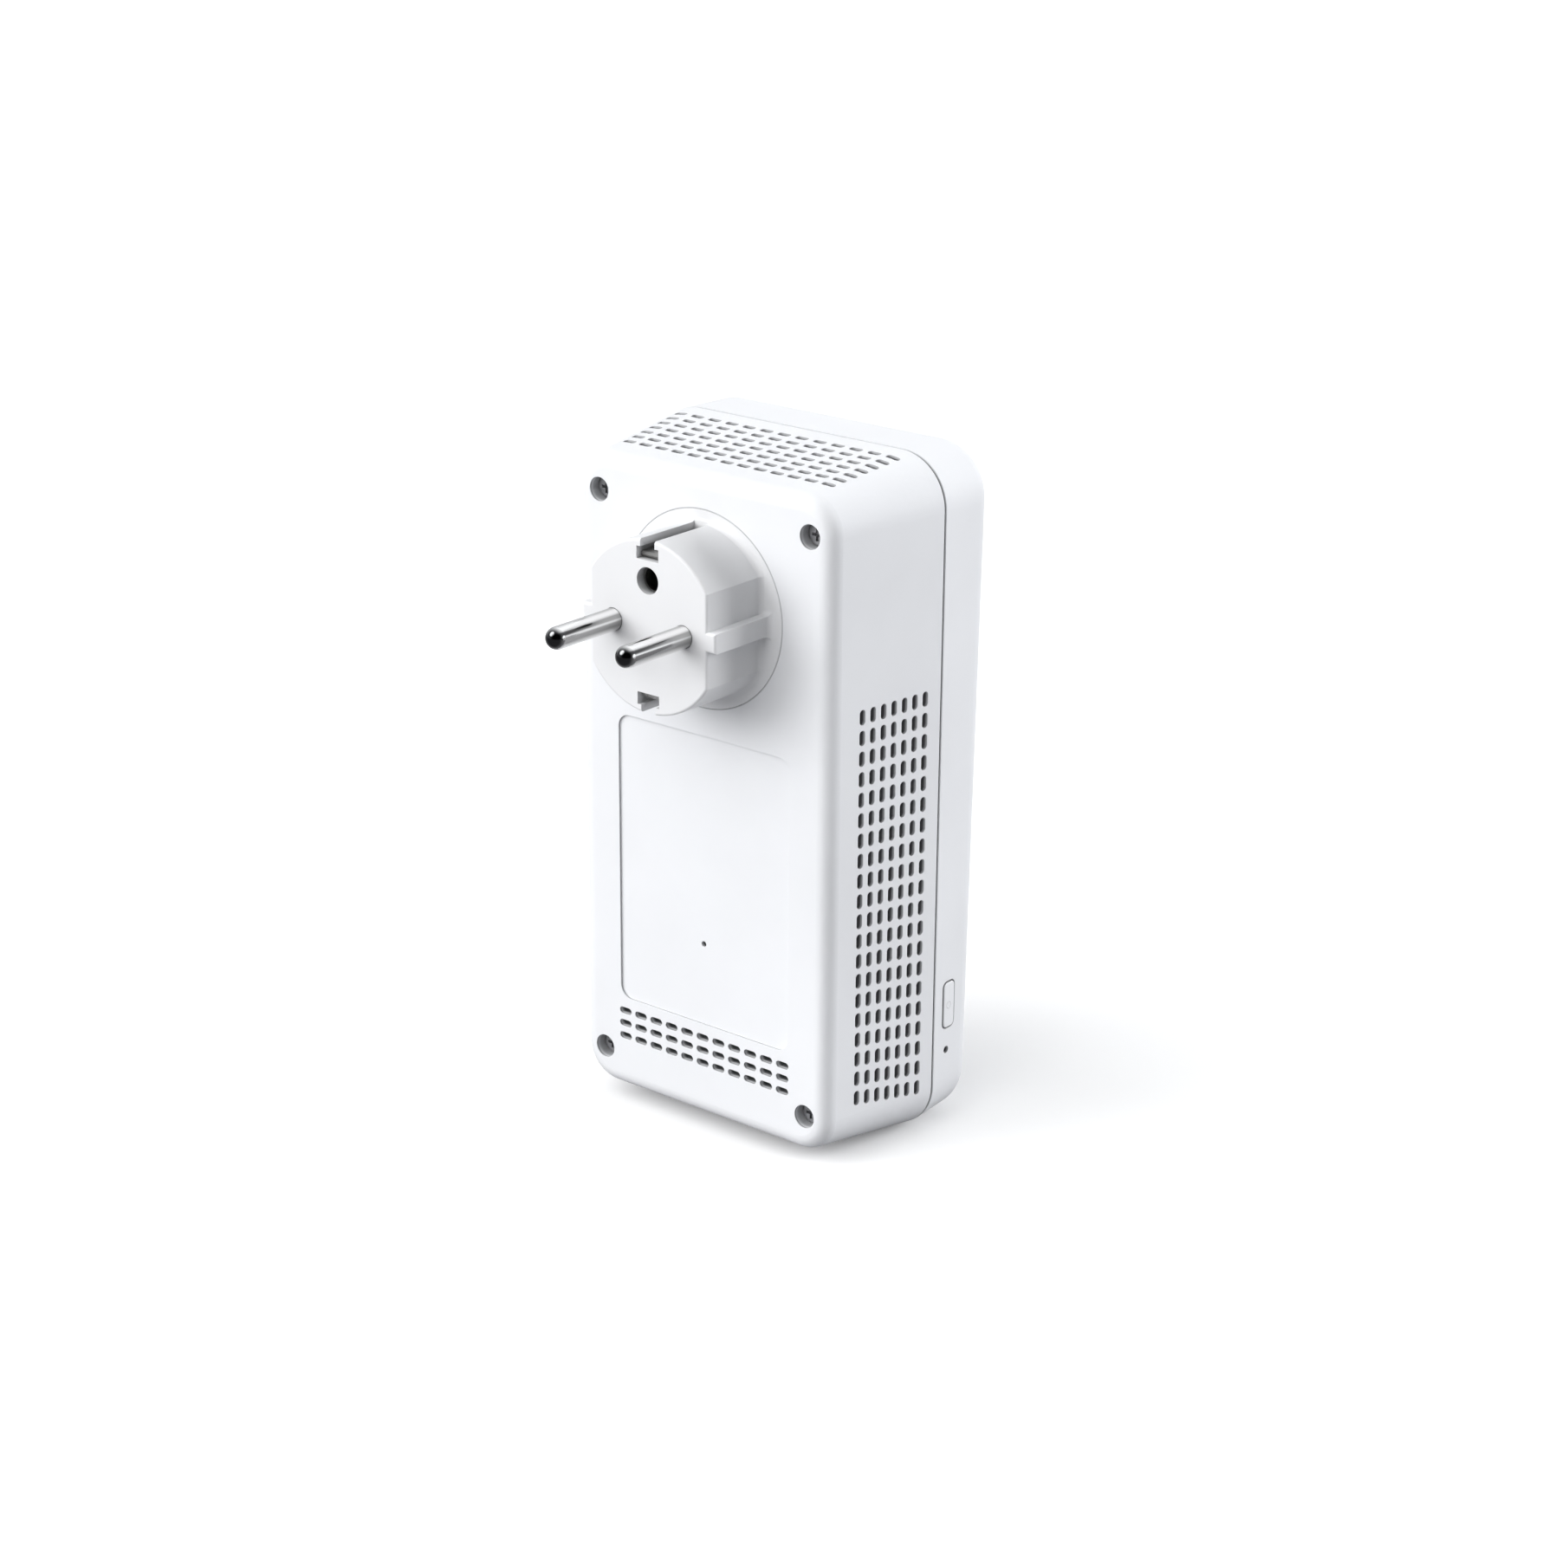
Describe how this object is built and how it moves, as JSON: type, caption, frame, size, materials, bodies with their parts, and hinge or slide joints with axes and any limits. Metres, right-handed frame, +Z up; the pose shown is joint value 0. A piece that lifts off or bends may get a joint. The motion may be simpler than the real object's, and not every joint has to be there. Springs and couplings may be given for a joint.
{
  "type": "powerline adapter",
  "caption": "Wall-plug powerline network adapter: drafted vented casing on a round earthed plug, with press buttons, reset switch and network sockets.",
  "frame": {"origin": "midway between the two pins, on the plug's end face", "axes": "+Y along the pins towards the wall, +Z up, -Y out of the front face, -X the side with the status-light button"},
  "size_m": [0.0786, 0.0853, 0.1534],
  "materials": {
    "white_shell": "fine matt moulded",
    "white_plug": "fine matt moulded",
    "white_button": "satin moulded",
    "pin_nickel": "polished nickel plate",
    "contact_steel": "stamped spring strip",
    "screw_steel": "zinc plated",
    "board_green": "solder-masked laminate",
    "black_plastic": "moulded",
    "grey_plastic": "moulded",
    "copper_winding": "enamelled wire",
    "ferrite": "sintered",
    "film_yellow": "moulded",
    "blue_disc": "dipped",
    "can_sleeve": "shrink sleeve",
    "chip_black": "moulded",
    "thermal_grey": "soft pad",
    "sink_aluminium": "extruded",
    "shield_tin": "tin plated",
    "gold_contact": "gold flashed",
    "sheet_clear": "translucent film",
    "led_clear": "clear package",
    "light_pipe": "frosted clear",
    "cable_black": "jacket",
    "fuse_glass": "clear tube"
  },
  "bodies": {
    "housing": {"rear_shell": "white_shell", "front_cover": "white_shell", "plug_body": "white_plug", "plug_back_plate": "grey_plastic", "line_pin": "pin_nickel", "neutral_pin": "pin_nickel", "earth_clip_top": "contact_steel", "earth_clip_bottom": "contact_steel", "earth_socket": "contact_steel", "earth_bridge": "contact_steel", "rear_screws": "screw_steel", "plug_screws": "screw_steel", "board_screws": "screw_steel", "power_board": "board_green", "mains_fuse": "fuse_glass", "varistor": "blue_disc", "x_capacitor": "film_yellow", "choke_core": "ferrite", "choke_windings": "copper_winding", "bridge_rectifier": "chip_black", "bulk_capacitors": "can_sleeve", "transformer_core": "ferrite", "transformer_bobbin": "film_yellow", "optocoupler": "chip_black", "output_capacitor": "can_sleeve", "coupling_transformer": "grey_plastic", "board_connector": "black_plastic", "insulation_sheet": "sheet_clear", "main_board": "board_green", "processor_chip": "chip_black", "thermal_pad": "thermal_grey", "heat_sink": "sink_aluminium", "powerline_chip": "chip_black", "memory_chip": "chip_black", "wifi_chip": "chip_black", "rf_shield": "shield_tin", "ethernet_jacks": "black_plastic", "jack_contacts": "gold_contact", "network_transformers": "chip_black", "status_leds": "led_clear", "light_guide": "light_pipe", "antennas": "board_green", "antenna_cables": "cable_black", "switch_bodies": "grey_plastic"},
    "led_button": {"led_button": "white_button"},
    "pair_button": {"pair_button": "white_button"},
    "wifi_button": {"wifi_button": "white_button"},
    "led_plunger": {"led_plunger": "black_plastic"},
    "pair_plunger": {"pair_plunger": "black_plastic"},
    "wifi_plunger": {"wifi_plunger": "black_plastic"},
    "reset_plunger": {"reset_plunger": "black_plastic"}
  },
  "joints": [
    {"name": "led_press", "type": "slide", "parent": "housing", "child": "led_button", "axis": [1, 0, 0], "range_m": [0, 0.0004]},
    {"name": "led_plunger_slide", "type": "slide", "parent": "housing", "child": "led_plunger", "axis": [1, 0, 0], "range_m": [0, 0.0004]},
    {"name": "pair_press", "type": "slide", "parent": "housing", "child": "pair_button", "axis": [0, 1, 0], "range_m": [0, 0.0004]},
    {"name": "pair_plunger_slide", "type": "slide", "parent": "housing", "child": "pair_plunger", "axis": [0, 1, 0], "range_m": [0, 0.0004]},
    {"name": "wifi_press", "type": "slide", "parent": "housing", "child": "wifi_button", "axis": [0, 1, 0], "range_m": [0, 0.0004]},
    {"name": "wifi_plunger_slide", "type": "slide", "parent": "housing", "child": "wifi_plunger", "axis": [0, 1, 0], "range_m": [0, 0.0004]},
    {"name": "reset_press", "type": "slide", "parent": "housing", "child": "reset_plunger", "axis": [1, 0, 0], "range_m": [0, 0.0003]}
  ],
  "couplings": [
    {"joint": "led_plunger_slide", "follows": "led_press", "ratio": 1},
    {"joint": "pair_plunger_slide", "follows": "pair_press", "ratio": 1},
    {"joint": "wifi_plunger_slide", "follows": "wifi_press", "ratio": 1}
  ]
}
